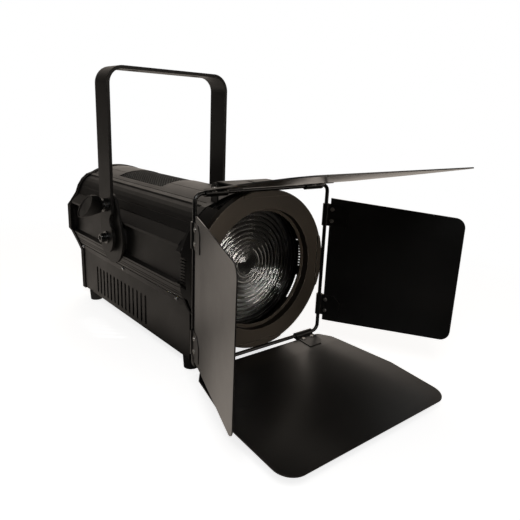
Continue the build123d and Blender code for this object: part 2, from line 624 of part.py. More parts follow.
def guide_rods():
    rod = rod_y(GUIDE_ROD_RADIUS, GUIDE_FRONT_Y, GUIDE_BACK_Y, -GUIDE_ROD_X, GUIDE_ROD_Z)
    return both_sides(rod)


def zoom_screw():
    """Zoom screw with shallow thread grooves, running the length of the engine to the rear knob."""
    y0, y1 = GUIDE_FRONT_Y + 0.5, REAR_Y + 12
    screw = rod_y(SCREW_RADIUS, y0, y1, 0, SCREW_Z)
    for i in range(36):
        y = y0 + 14 + i * 8.0
        if y < GUIDE_BACK_Y - 12:
            screw -= tube_y(SCREW_RADIUS + 1, SCREW_RADIUS - 0.8, y, y + 3, 0, SCREW_Z)
    collar = tube_y(9, SCREW_RADIUS - 0.3, GUIDE_BACK_Y + 0.4, GUIDE_BACK_Y + 6, 0, SCREW_Z)
    return screw + collar


def zoom_knob():
    """Fluted zoom knob on the rear end of the screw."""
    y0, y1, radius, flutes = REAR_Y - 1, REAR_Y + 19, 16.0, 14
    knob = rod_y(radius, y0, y1, 0, SCREW_Z)
    for i in range(flutes):
        a = 2 * pi * i / flutes
        knob -= rod_y(2.4, y0 + 3, y1 + 1, (radius + 1) * sin(a), SCREW_Z + (radius + 1) * cos(a))
    return knob - rod_y(SCREW_RADIUS + 0.02, y0 - 1, REAR_Y + 12.02, 0, SCREW_Z)


def led_carriage():
    """Sliding carriage plate with two guide bores and the nut seat."""
    y0 = LED_FACE_Y + 12
    plate = block(-82, 82, y0, y0 + 6, -92, 60)
    for x in (-GUIDE_ROD_X, GUIDE_ROD_X):
        plate -= rod_y(7.0, y0 - 1, y0 + 7, x, GUIDE_ROD_Z)
    return plate - rod_y(9.0, y0 - 1, y0 + 7, 0, SCREW_Z)


def carriage_bushes():
    y0 = LED_FACE_Y + 12
    bush = tube_y(6.98, GUIDE_ROD_RADIUS + RUNNING, y0 - 6, y0 + 14, -GUIDE_ROD_X, GUIDE_ROD_Z)
    return both_sides(bush)


def zoom_nut():
    y0 = LED_FACE_Y + 12
    return tube_y(8.98, SCREW_RADIUS + RUNNING, y0 - 4, y0 + 16, 0, SCREW_Z)


def heat_sink():
    """Finned heat sink behind the carriage plate."""
    y0 = LED_FACE_Y + 18.02
    sink = block(-62, 62, y0, y0 + 8, -45, 58)
    for i in range(13):
        x = -60 + i * 10
        sink += block(x - 1.2, x + 1.2, y0 + 7, y0 + 58, -45, 58)
    return sink


def led_module():
    """Light source: copper-cored board with the round emitter in a bezel."""
    y0 = LED_FACE_Y + 12
    board = block(-30, 30, y0 - 4.02, y0 - 0.02, OPTIC_Z - 30, OPTIC_Z + 30)
    return board + rod_y(15, y0 - 6, y0 - 3, 0, OPTIC_Z)


def reflector():
    """Spun collecting cup in front of the emitter, with its mounting feet."""
    y0 = LED_FACE_Y + 12 - 4.04
    return turned_ring([(16, y0 - 2), (26, y0 - 14), (33, y0 - 34), (35, y0 - 34), (28, y0 - 13), (20, y0),
                        (16, y0)])


# ---------------------------------------------------------------- electronics, fan, rear controls
FAN_Z, FAN_HALF = -124.0, 28.0
DISPLAY_Z, DISPLAY_HALF = 52.0, 30.0
BUTTON_Z, BUTTON_XS, BUTTON_RADIUS = 26.0, (-33.0, -11.0, 11.0, 33.0), 5.5
SOCKETS = {"power_in": (-66.0, -6.0, 12.0), "power_out": (-66.0, -40.0, 12.0),
           "dmx_in": (66.0, -6.0, 12.0), "dmx_out": (66.0, -40.0, 12.0)}


def fan_frame():
    y0, y1 = REAR_Y - 32, REAR_Y - 7
    frame = block(-FAN_HALF, FAN_HALF, y0, y1, FAN_Z - FAN_HALF, FAN_Z + FAN_HALF)
    frame -= rod_y(26.5, y0 - 1, y1 + 1, 0, FAN_Z)
    hub = rod_y(11, y0, y0 + 3, 0, FAN_Z) + rod_y(3, y0, y0 + 14, 0, FAN_Z)
    for a in (45, 135):
        hub += Pos(0, 0, FAN_Z) * Rot(0, a, 0) * block(-27, 27, y0, y0 + 3, -2, 2)
    return frame + hub


def fan_rotor():
    y0, y1 = REAR_Y - 28, REAR_Y - 9
    rotor = rod_y(11, y0, y1, 0, FAN_Z)
    for i in range(7):
        blade = Pos(17.5, (y0 + y1) / 2, 0) * Rot(35, 0, 0) * Box(15, 1.4, 15)
        rotor += Pos(0, 0, FAN_Z) * Rot(0, i * 360 / 7, 0) * blade
    return rotor - rod_y(3 + RUNNING, y0 - 1, y0 + 11, 0, FAN_Z)


def socket_body(name):
    """Panel socket: square flange, round body and a recessed mouth."""
    x, z, radius = SOCKETS[name]
    y_face = REAR_Y - 2.98
    flange = block(x - 13, x + 13, y_face, y_face + 2, z - 15.5, z + 15.5)
    flange = fillet(flange.edges().filter_by(Axis.Y), 3)
    body = flange + rod_y(radius, y_face - 24, y_face + 1, x, z)
    body -= rod_y(radius - 2.5, y_face - 14, y_face + 3, x, z)
    if name.startswith("dmx"):
        for a in (-90, 30, 150):
            body += rod_y(1.2, y_face - 15, y_face - 3, x + 5 * cos(radians(a)), z + 5 * sin(radians(a)))
    else:
        body += rod_y(4.2, y_face - 15, y_face - 2, x, z)
    return body


def display_unit():
    """Display bezel with its window, seated in the rear panel."""
    y_face = REAR_Y - 2.98
    bezel = block(-36, 36, y_face, y_face + 2.2, DISPLAY_Z - 16, DISPLAY_Z + 16)
    bezel = fillet(bezel.edges().filter_by(Axis.Y), 3)
    half = DISPLAY_HALF - 0.1
    neck = block(-half, half, y_face - 8, y_face + 1, DISPLAY_Z - 10.9, DISPLAY_Z + 10.9)
    return bezel + neck - block(-25, 25, y_face + 0.9, y_face + 3, DISPLAY_Z - 8, DISPLAY_Z + 8)


def display_window():
    y_face = REAR_Y - 2.98
    return block(-24.9, 24.9, y_face + 0.95, y_face + 1.9, DISPLAY_Z - 7.9, DISPLAY_Z + 7.9)


def menu_button(x):
    y_face = REAR_Y - 2.98
    button = rod_y(BUTTON_RADIUS, y_face - 6, y_face + 3, x, BUTTON_Z)
    return fillet(button.edges().group_by(Axis.Y)[-1], 1.0) + rod_y(7, y_face - 7, y_face - 5.6, x, BUTTON_Z)


def control_board():
    return block(-55, 55, REAR_Y - 18, REAR_Y - 16.4, 8, 70)


def power_supply():
    """Enclosed driver in the base tray."""
    case = block(-60, 60, -120, 40, BOX_BOTTOM + 4, -94)
    return fillet(case.edges().filter_by(Axis.Y), 3)


def supply_feet():
    """Stand-offs between the driver and the tray's floor."""
    low, high = BOX_BOTTOM + SHEET, BOX_BOTTOM + 3.99
    return group(*[rod_z(4, low, high, x, y) for x in (-50, 50) for y in (-105, 25)])


def safety_eye():
    """Welded eye on the back of the rear frame for a safety bond."""
    rim_middle = COVER_CENTRE_Z + COVER_RADIUS + 1.5 - 4.1
    eye = Pos(0, REAR_Y, rim_middle) * Torus(9, 2.5)
    return eye & block(-15, 15, REAR_Y + 0.01, REAR_Y + 20, 80, 125)


def main():
    os.makedirs("parts", exist_ok=True)
    panel = side_panel()
    parts = {
        "top_cover": top_cover(), "top_grille": top_grille(),
        "left_side_panel": panel, "right_side_panel": mirror(panel, about=Plane.YZ),
        "front_casting": front_casting(), "rear_frame": rear_frame(), "rear_panel": rear_panel(),
        "base_tray": base_tray(), "feet": feet(), "housing_screws": housing_screws(),
        "tilt_bosses": tilt_bosses(), "friction_rings": friction_rings(),
        "pivot_bolts": group(pivot_bolts(), pivot_washers()),
        "yoke_strap": yoke_strap(), "brake_plates": brake_plates(),
        "lens_barrel": lens_barrel(), "fresnel_lens": fresnel_lens(),
        "lens_retaining_ring": lens_retaining_ring(),
        "accessory_holder": accessory_holder(), "latch_bracket": latch_bracket(),
        "accessory_latch": accessory_latch(), "barndoor_ring": barndoor_ring(), "rod_frame": rod_frame(),
        "engine_plates": engine_plates(), "guide_rods": guide_rods(),
        "zoom_screw": zoom_screw(), "zoom_knob": zoom_knob(), "led_carriage": led_carriage(),
        "carriage_bushes": group(carriage_bushes(), zoom_nut()), "heat_sink": heat_sink(),
        "led_module": led_module(), "reflector_cup": reflector(),
        "fan_frame": fan_frame(), "fan_rotor": fan_rotor(),
        "display_bezel": display_unit(), "display_window": display_window(),
        "electronics": group(power_supply(), supply_feet(), control_board()),
        "safety_eye": safety_eye(),
    }
    parts["power_sockets"] = group(socket_body("power_in"), socket_body("power_out"))
    parts["dmx_sockets"] = group(socket_body("dmx_in"), socket_body("dmx_out"))
    large = (LARGE_LEAF, LARGE_OFFSET, LARGE_BRACKETS, (10, 26))
    small = (SMALL_LEAF, SMALL_OFFSET, SMALL_BRACKETS, (0, 15))
    for name, turn, opened, drop, cut_side, (outline, lift, offset, rounds) in (
            ("top", 0, TOP_DOOR_ANGLE, 0, 0, large),
            ("bottom", 180, BOTTOM_DOOR_ANGLE, 0, 0, large),
            ("left", -90, LEFT_DOOR_ANGLE, LEFT_DOOR_DROP, -1, small),
            ("right", 90, RIGHT_DOOR_ANGLE, 0, 1, small)):
        pieces = {"door": drilled_leaf(outline, lift, offset, *rounds),
                  "door_clips": door_brackets(lift, offset, cut_side),
                  "door_rivets": door_rivets(lift, offset)}
        for kind, piece in pieces.items():
            parts[f"{name}_{kind}"] = Pos(0, 0, -drop) * on_hinge(piece, turn, opened)
    for name, side in (("left", -1), ("right", 1)):
        parts[f"{name}_lock_knob"] = lock_knob(side)
        parts[f"{name}_lock_stud"] = lock_stud(side)
    for number, x in enumerate(BUTTON_XS, 1):
        parts[f"menu_button_{number}"] = menu_button(x)
    for name, part in parts.items():
        save(name, part)


if __name__ == "__main__":
    main()
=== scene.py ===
"""Looks for the fresnel spotlight: materials, finer pieces, light and camera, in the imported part's frame."""
import json
import math

import bmesh
import bpy
from mathutils import Matrix, Vector


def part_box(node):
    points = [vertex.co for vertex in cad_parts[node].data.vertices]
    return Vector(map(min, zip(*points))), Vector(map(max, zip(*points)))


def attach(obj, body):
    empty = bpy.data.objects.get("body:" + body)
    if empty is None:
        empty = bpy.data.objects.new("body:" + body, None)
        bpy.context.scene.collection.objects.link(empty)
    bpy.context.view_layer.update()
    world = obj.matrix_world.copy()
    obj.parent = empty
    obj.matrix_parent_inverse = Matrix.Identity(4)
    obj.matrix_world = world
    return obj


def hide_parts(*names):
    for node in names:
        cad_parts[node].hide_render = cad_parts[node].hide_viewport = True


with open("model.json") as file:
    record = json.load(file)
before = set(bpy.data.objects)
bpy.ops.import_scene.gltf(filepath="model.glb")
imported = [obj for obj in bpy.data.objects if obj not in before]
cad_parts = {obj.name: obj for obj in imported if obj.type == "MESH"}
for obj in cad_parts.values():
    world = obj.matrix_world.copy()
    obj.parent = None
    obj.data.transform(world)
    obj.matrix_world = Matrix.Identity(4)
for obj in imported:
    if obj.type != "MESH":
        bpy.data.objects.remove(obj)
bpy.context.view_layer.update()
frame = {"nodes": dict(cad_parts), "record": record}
NODES = frame["nodes"]
MM = 0.001
THIRD_TURN = 2 * math.pi / 3
WHITE = (1.0, 1.0, 1.0, 1.0)
BLACK = (0.0, 0.0, 0.0, 1.0)


# ---------------------------------------------------------------- shader helpers
# Cosine of the angle between the rounded and the true normal: on flat ground, and well into an edge.
FLAT_DOT, EDGE_DOT = 0.995, 0.9
# Most of a noise texture's values lie in here.
BAND = (0.3, 0.7)
# Paler colour painted on edges: rubbed wear, and painted highlight where edges are paled at full strength.
WORN_AND_HIGHLIT_EDGE_COLOUR = (0.16, 0.145, 0.13)
# How far a face looks along the optical axis, from where it counts as a side to where it counts as a front.
SIDE_TO_FRONT = (0.3, 0.7)


class Shader:
    """A material with a Principled shader and short calls that add and join its nodes."""

    def __init__(self, name):
        self.material = bpy.data.materials.new(name)
        self.material.use_nodes = True
        self.tree = self.material.node_tree
        self.bsdf = self.tree.nodes["Principled BSDF"]
        self.place = self.add("ShaderNodeTexCoord").outputs["Object"]

    def add(self, kind, inputs=None, **settings):
        node = self.tree.nodes.new(kind)
        for key, value in settings.items():
            setattr(node, key, value)
        for key, value in (inputs or {}).items():
            self.feed(node.inputs[key], value)
        return node

    def feed(self, socket, value):
        if isinstance(value, bpy.types.NodeSocket):
            self.tree.links.new(value, socket)
        else:
            socket.default_value = value

    def out(self, name, value):
        self.feed(self.bsdf.inputs[name], value)

    def noise(self, scale, detail=2.0, rough=0.5, stretch=(1, 1, 1)):
        place = self.add("ShaderNodeMapping", {"Vector": self.place, "Scale": stretch}).outputs["Vector"]
        inputs = {"Vector": place, "Scale": scale, "Detail": detail, "Roughness": rough}
        return self.add("ShaderNodeTexNoise", inputs).outputs["Fac"]

    def cells(self, scale, feature="F1"):
        """Distance to the nearest point of a cell pattern."""
        node = self.add("ShaderNodeTexVoronoi", {"Vector": self.place, "Scale": scale}, feature=feature)
        return node.outputs["Distance"]

    def span(self, value, low, high, to_low=0.0, to_high=1.0):
        """Maps low to to_low and high to to_high, and holds the value beyond them."""
        inputs = {"Value": value, "From Min": low, "From Max": high, "To Min": to_low, "To Max": to_high}
        return self.add("ShaderNodeMapRange", inputs).outputs["Result"]

    def maths(self, operation, a, b=0.0):
        node = self.add("ShaderNodeMath", operation=operation)
        self.feed(node.inputs[0], a)
        self.feed(node.inputs[1], b)
        return node.outputs[0]

    def mix(self, factor, a, b):
        """Colour a at factor 0 and colour b at factor 1."""
        node = self.add("ShaderNodeMix", data_type="RGBA")
        self.feed(node.inputs[0], factor)
        self.feed(node.inputs[6], a)
        self.feed(node.inputs[7], b)
        return node.outputs[2]

    def edges(self, radius):
        """1 along sharp edges and 0 on flat ground, with the rounded normal that goes with it."""
        round_normal = self.add("ShaderNodeBevel", {"Radius": radius}, samples=4).outputs["Normal"]
        true_normal = self.add("ShaderNodeNewGeometry").outputs["Normal"]
        dot = self.add("ShaderNodeVectorMath", operation="DOT_PRODUCT")
        self.feed(dot.inputs[0], round_normal)
        self.feed(dot.inputs[1], true_normal)
        return self.span(dot.outputs["Value"], FLAT_DOT, EDGE_DOT), round_normal

    def bump(self, height, distance, strength=1.0, normal=None):
        node = self.add("ShaderNodeBump", {"Height": height, "Distance": distance, "Strength": strength})
        if normal is not None:
            self.feed(node.inputs["Normal"], normal)
        return node.outputs["Normal"]


def rgb(colour, gain=1.0):
    return (colour[0] * gain, colour[1] * gain, colour[2] * gain, 1.0)


def coat(name, colour, rough=0.5, grain=0.06 * MM, grain_size=0.7 * MM, wear_and_highlight=0.35, radius=0.7 * MM, clear=0.0,
         spec=0.5, shaded_side_gain=1.0):
    """Powder coat or paint over metal: fine orange peel, soft cloudiness, dust, and edges painted paler,
    partly as rubbed wear and partly as painted highlight.

    The last argument scales the colour and shine of the faces that look away from the optical axis: painted
    shade on the sides.
    """
    s = Shader(name)
    cloud = s.noise(14.0, 4.0, 0.6)
    peel = s.noise(1.0 / grain_size, 2.0, 0.55)
    specks = s.cells(1.0 / (grain_size * 1.6))
    edge, round_normal = s.edges(radius)
    # Edge mask for the paler paint: rubbed wear, and painted highlight where it is set strong.
    rubbed_and_highlit = s.maths("MULTIPLY", edge, s.span(s.noise(120.0, 3.0), 0.35, 0.65, 0.25, 1.0))
    tone = s.mix(s.span(cloud, *BAND), rgb(colour, 0.82), rgb(colour, 1.2))
    tone = s.mix(s.span(specks, 0.1, 0.6, 0.0, 0.35), tone, rgb(colour, 0.6))
    tone = s.mix(s.maths("MULTIPLY", rubbed_and_highlit, wear_and_highlight), tone, rgb(WORN_AND_HIGHLIT_EDGE_COLOUR))
    # Painted shade: faces that look away from the optical axis darken towards black and lose shine.
    if shaded_side_gain < 1.0:
        normal = s.add("ShaderNodeTexCoord").outputs["Normal"]
        along_axis = s.maths("ABSOLUTE", s.add("ShaderNodeSeparateXYZ", {0: normal}).outputs["Y"])
        front = s.span(along_axis, *SIDE_TO_FRONT)
        tone = s.mix(front, s.mix(1.0 - shaded_side_gain, tone, BLACK), tone)
        spec = s.span(front, 0.0, 1.0, spec * shaded_side_gain, spec)
    s.out("Base Color", tone)
    s.out("Roughness", s.span(cloud, 0.2, 0.8, rough - 0.06, rough + 0.08))
    s.out("Specular IOR Level", spec)
    height = s.maths("ADD", peel, s.maths("MULTIPLY", specks, 0.5))
    s.out("Normal", s.bump(height, grain, 1.0, round_normal))
    if clear:
        s.out("Coat Weight", clear)
        s.out("Coat Roughness", 0.25)
    return s.material


def metal(name, colour, rough=0.3, brush=(1, 1, 1), radius=0.4 * MM, tarnish=0.25, edge_wear_and_glint_gain=1.3):
    """Bare or plated metal with a fine brushed grain, tarnish clouds and edges painted brighter: partly worn
    metal, partly painted highlight.
    """
    s = Shader(name)
    grain = s.noise(900.0, 3.0, 0.6, brush)
    cloud = s.noise(60.0, 4.0, 0.6)
    edge, round_normal = s.edges(radius)
    tone = s.mix(s.span(cloud, 0.35, 0.7, 0.0, tarnish), rgb(colour), rgb(colour, 0.5))
    # Edges painted brighter: worn metal, and painted highlight.
    s.out("Base Color", s.mix(s.maths("MULTIPLY", edge, 0.4), tone, rgb(colour, edge_wear_and_glint_gain)))
    s.out("Metallic", 1.0)
    s.out("Roughness", s.span(grain, *BAND, rough * 0.8, rough * 1.4))
    s.out("Normal", s.bump(grain, 0.02 * MM, 0.6, round_normal))
    return s.material


def plastic(name, colour, rough=0.45, grain=0.05 * MM, grain_size=0.9 * MM, radius=0.6 * MM, spec=0.5):
    """Moulded plastic with a fine spark-eroded grain and edges polished by handling."""
    s = Shader(name)
    cells = s.cells(1.0 / grain_size)
    cloud = s.noise(40.0, 3.0)
    edge, round_normal = s.edges(radius)
    tone = s.mix(s.span(cloud, *BAND), rgb(colour, 0.85), rgb(colour, 1.2))
    s.out("Base Color", s.mix(s.maths("MULTIPLY", edge, 0.3), tone, rgb(colour, 2.0)))
    matt = s.span(cloud, *BAND, rough - 0.05, rough + 0.08)
    s.out("Roughness", s.maths("SUBTRACT", matt, s.maths("MULTIPLY", edge, 0.12)))
    s.out("Specular IOR Level", spec)
    s.out("Normal", s.bump(cells, grain, 1.0, round_normal))
    return s.material


def lens_glass(name):
    """Clear pressed glass with a faint green tint and a hammered texture on its back face."""
    s = Shader(name)
    pebble = s.cells(260.0, "SMOOTH_F1")
    s.out("Base Color", (0.96, 0.985, 0.975, 1.0))
    s.out("Roughness", 0.03)
    s.out("IOR", 1.47)
    s.out("Transmission Weight", 1.0)
    s.out("Normal", s.bump(pebble, 0.03 * MM, 0.5))
    return s.material


def screen(name):
    """Dark display glass, faintly blue, with the pixel rows just visible."""
    s = Shader(name)
    rows = s.add("ShaderNodeTexWave", {"Vector": s.place, "Scale": 900.0}, bands_direction="Z").outputs["Fac"]
    s.out("Base Color", s.mix(rows, (0.004, 0.008, 0.014, 1), (0.008, 0.016, 0.026, 1)))
    s.out("Roughness", s.span(s.noise(50.0), *BAND, 0.05, 0.12))
    s.out("Coat Weight", 1.0)
    return s.material


PHOSPHOR_RADIUS = 12.1 * MM


def emitter(name):
    """White board with the light source's yellow phosphor disc, a disc about the optical axis."""
    s = Shader(name)
    low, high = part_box("led_module")
    centre = (low + high) / 2
    gap = s.add("ShaderNodeVectorMath", operation="DISTANCE")
    s.feed(gap.inputs[0], s.place)
    gap.inputs[1].default_value = (centre.x, low.y, centre.z)
    disc = s.span(gap.outputs["Value"], PHOSPHOR_RADIUS + 0.4 * MM, PHOSPHOR_RADIUS)
    dots = s.cells(600.0)
    phosphor = s.mix(s.span(dots, 0.2, 0.6), (0.8, 0.55, 0.09, 1), (0.9, 0.68, 0.2, 1))
    board = s.mix(s.span(s.noise(200.0), *BAND), (0.62, 0.62, 0.6, 1), (0.75, 0.75, 0.73, 1))
    s.out("Base Color", s.mix(disc, board, phosphor))
    s.out("Roughness", 0.35)
    s.out("Normal", s.bump(dots, 0.05 * MM, 0.6))
    return s.material


MATERIALS = {
    "powder_coat": coat("powder_coat_mat", (0.0075, 0.0066, 0.0058), 0.46),
    "cover_coat": coat("cover_coat_mat", (0.010, 0.0086, 0.0075), 0.42),
    "grille_coat": coat("grille_coat_mat", (0.11, 0.105, 0.096), 0.42),
    "cast_coat": coat("cast_coat_mat", (0.010, 0.009, 0.008), 0.55, 0.1 * MM, 1.2 * MM),
    "yoke_coat": coat("yoke_coat_mat", (0.009, 0.0077, 0.0066), 0.46, spec=0.45),
    "door_coat": coat("door_coat_mat", (0.0045, 0.004, 0.0036), 0.4, clear=0.85),
    "rod_coat": coat("rod_coat_mat", (0.006, 0.006, 0.006), 0.25, 0.01 * MM, clear=0.5),
    "clip_steel": coat("clip_steel_mat", (0.008, 0.0075, 0.007), 0.36, 0.02 * MM, wear_and_highlight=0.6, clear=0.3),
    "rivet_steel": metal("rivet_steel_mat", (0.50, 0.49, 0.47), 0.3),
    "zinc_steel": metal("zinc_steel_mat", (0.55, 0.56, 0.57), 0.35),
    "bright_steel": metal("bright_steel_mat", (0.62, 0.62, 0.62), 0.25, (1, 8, 8)),
    "spun_aluminium": metal("spun_aluminium_mat", (0.82, 0.82, 0.83), 0.18, (1, 6, 1), tarnish=0.1),
    "heat_sink_metal": metal("heat_sink_mat", (0.35, 0.35, 0.36), 0.4, (8, 1, 8)),
    "bronze": metal("bronze_mat", (0.60, 0.42, 0.20), 0.38),
    "socket_metal": metal("socket_metal_mat", (0.55, 0.54, 0.50), 0.3),
    "rubber": plastic("rubber_mat", (0.018, 0.018, 0.018), 0.75, 0.08 * MM, 1.2 * MM, spec=0.3),
    "fibre": plastic("fibre_mat", (0.20, 0.14, 0.09), 0.85, 0.1 * MM, 0.8 * MM, spec=0.2),
    "black_plastic": plastic("black_plastic_mat", (0.017, 0.017, 0.018), 0.45),
    "knob_plastic": plastic("knob_plastic_mat", (0.006, 0.0059, 0.0055), 0.5, spec=0.25),
    "button_plastic": plastic("button_plastic_mat", (0.10, 0.10, 0.10), 0.4),
    "driver_case": plastic("driver_case_mat", (0.012, 0.012, 0.012), 0.5),
    # Black steel's edges painted seven times brighter: painted highlight, the bright ring on the bolt and stud
    # heads.
    "black_steel": metal("black_steel_mat", (0.11, 0.11, 0.11), 0.25, edge_wear_and_glint_gain=7.0),
    "screen": screen("screen_mat"),
    "emitter": emitter("emitter_mat"),
    "lens_glass": lens_glass("lens_glass_mat"),
}


def dress(obj, slot):
    """Gives an object the one material of its slot."""
    obj.data.materials.clear()
    obj.data.materials.append(MATERIALS[slot])


for part in frame["record"]["subparts"]:
    dress(NODES[part["node"]], part["material_slot"])

# Lens barrel and retaining ring: edges paled at full strength, mostly painted highlight for the thin bright
# arcs round the lens.
BEAM_BLACK = coat("beam_black_mat", (0.005, 0.0047, 0.0044), 0.3, wear_and_highlight=1.0, radius=1.8 * MM)
SATIN_BLACK = coat("satin_black_mat", (0.0052, 0.0048, 0.0044), 0.42, wear_and_highlight=0.5)
OWN_MATERIALS = {
    # The ring's sides are painted nearly black: painted shade on walls the light doesn't reach.
    "barndoor_ring": coat("ring_coat_mat", (0.015, 0.0122, 0.0094), 0.45, radius=1.2 * MM, spec=0.35,
                          shaded_side_gain=0.15),
    "rear_frame": coat("rear_frame_mat", (0.0035, 0.0032, 0.003), 0.55, spec=0.15),
    "accessory_holder": coat("holder_mat", (0.0035, 0.0032, 0.003), 0.6, wear_and_highlight=0.5, spec=0.15),
    "front_casting": SATIN_BLACK,
    "latch_bracket": SATIN_BLACK,
    "lens_barrel": BEAM_BLACK,
    "lens_retaining_ring": BEAM_BLACK,
}
for node, own_material in OWN_MATERIALS.items():
    NODES[node].data.materials[0] = own_material


# ---------------------------------------------------------------- finer pieces that stand for CAD nodes
def new_piece(name, mesh, body, slot):
    piece = bpy.data.objects.new(name, mesh)
    bpy.context.scene.collection.objects.link(piece)
    mesh.materials.append(MATERIALS[slot])
    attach(piece, body)
    return piece


LENS_STEPS = 10
LENS_CENTRE_RADIUS = 19 * MM
LENS_RIM = 3 * MM
LENS_SPOKES = 240
DIMPLE_PITCH, DIMPLE_DEPTH = 5.5 * MM, 0.03 * MM
DIMPLE_TILT = 0.2
DOME_DROP = 3.0 * MM
DOME_SHARES = (0.0, 0.15, 0.3, 0.45, 0.6, 0.75, 0.88, 0.97)
FIRST_STEP_DEPTH, STEP_DEPTH_GAIN = 1.6 * MM, 2.8 * MM
# One step from its inner to its outer edge, as shares of the pitch and of the step's depth.
STEP_SHAPE = ((0.02, 0.97), (0.07, 0.35), (0.14, 0.06), (0.22, 0.0), (0.32, 0.06), (0.46, 0.2),
              (0.62, 0.4), (0.78, 0.65), (0.9, 0.88), (0.96, 1.0))
STEP_SET_BACK = 0.5 * MM
RIM_SET_BACK = 5.5 * MM
BACK_RINGS = 48


def lens_profile(radius, front):
    """(radius, y) points of the moulded face, centre first: a domed middle, then steps, deeper outwards."""
    points = [(LENS_CENTRE_RADIUS * t, front + DOME_DROP * t * t) for t in DOME_SHARES]
    pitch = (radius - LENS_RIM - LENS_CENTRE_RADIUS) / LENS_STEPS
    for step in range(LENS_STEPS):
        inner = LENS_CENTRE_RADIUS + step * pitch
        depth = FIRST_STEP_DEPTH + STEP_DEPTH_GAIN * step / LENS_STEPS
        for along, down in STEP_SHAPE:
            points.append((inner + pitch * along, front + STEP_SET_BACK + depth * down))
    rim_y = front + RIM_SET_BACK
    points += [(radius - LENS_RIM, rim_y - 0.1 * MM), (radius - LENS_RIM + 0.3 * MM, rim_y), (radius, rim_y)]
    return points


def dimple(x, z):
    """Depth of the hammered pattern on the lens's back, a honeycomb of shallow dimples."""
    k = 2 * math.pi / DIMPLE_PITCH
    waves = 0.0
    for turn in range(3):
        a = DIMPLE_TILT + turn * THIRD_TURN
        waves += math.cos(k * (x * math.cos(a) + z * math.sin(a)))
    return DIMPLE_DEPTH * (waves + 1.5) / 4.5  # the three waves add up to between -1.5 and 3


def fresnel_lens():
    """Pressed glass lens, turned about the optical axis, with a dimpled back."""
    low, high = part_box("fresnel_lens")
    centre_x, centre_z = (low.x + high.x) / 2, (low.z + high.z) / 2
    radius = (high.x - low.x) / 2
    profile = lens_profile(radius, low.y)
    back = [(radius * i / BACK_RINGS, high.y) for i in range(BACK_RINGS, -1, -1)]
    bm = bmesh.new()
    rings = []
    for place, (r, y) in enumerate(profile + back):
        on_back = place > len(profile)
        if r == 0.0:
            rings.append([bm.verts.new((centre_x, y, centre_z))])
            continue
        ring = []
        for spoke in range(LENS_SPOKES):
            a = 2 * math.pi * spoke / LENS_SPOKES
            x, z = r * math.cos(a), r * math.sin(a)
            depth = dimple(x, z) if on_back else 0.0
            ring.append(bm.verts.new((centre_x + x, y - depth, centre_z + z)))
        rings.append(ring)
    for one, two in zip(rings, rings[1:]):
        for i in range(LENS_SPOKES):
            j = (i + 1) % LENS_SPOKES
            corners = [one[i % len(one)], one[j % len(one)], two[j % len(two)], two[i % len(two)]]
            bm.faces.new(list(dict.fromkeys(corners)))
    bmesh.ops.recalc_face_normals(bm, faces=bm.faces)
    mesh = bpy.data.meshes.new("fresnel_lens_glass")
    bm.to_mesh(mesh)
    bm.free()
    mesh.shade_smooth()
    piece = new_piece("fresnel_lens_glass", mesh, "housing", "lens_glass")
    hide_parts("fresnel_lens")


MESH_PITCH = 5.2 * MM
MESH_WIRE = 1.8 * MM
MESH_BORDER = 2.0 * MM
ROW_STRETCH = 1.5
BORDER_STEPS = 12


def air_grille():
    """Curved plate of expanded diamond mesh in a plain border. Its diamonds are longer along the lamp."""
    low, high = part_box("top_grille")
    half = (high.x - low.x) / 2
    sag = high.z - low.z
    radius = (half * half + sag * sag) / (2 * sag)
    across = round(2 * (half - MESH_BORDER) / MESH_PITCH)
    step_x = 2 * (half - MESH_BORDER) / across
    along = round((high.y - low.y - 2 * MESH_BORDER) / (MESH_PITCH * ROW_STRETCH))
    step_y = (high.y - low.y - 2 * MESH_BORDER) / along
    bm = bmesh.new()
    spots = {}

    def spot(i, j):
        if (i, j) not in spots:
            x = -half + MESH_BORDER + i * step_x / 2
            y = low.y + MESH_BORDER + j * step_y / 2
            crown = math.sqrt(radius ** 2 - x ** 2)
            spots[i, j] = bm.verts.new((x, y, high.z - MESH_WIRE / 2 - radius + crown))
        return spots[i, j]

    for i in range(2 * across):
        for j in range(i % 2, 2 * along, 2):
            if i > 0 and j > 0:
                bm.faces.new((spot(i, j - 1), spot(i + 1, j), spot(i, j + 1), spot(i - 1, j)))
    mesh = bpy.data.meshes.new("air_grille")
    bm.to_mesh(mesh)
    bm.free()
    piece = new_piece("air_grille", mesh, "housing", "grille_coat")
    wires = piece.modifiers.new("wires", "WIREFRAME")
    wires.thickness = MESH_WIRE
    wires.use_even_offset = False
    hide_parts("top_grille")
    grille_border(half, low.y, high.y, high.z, radius)


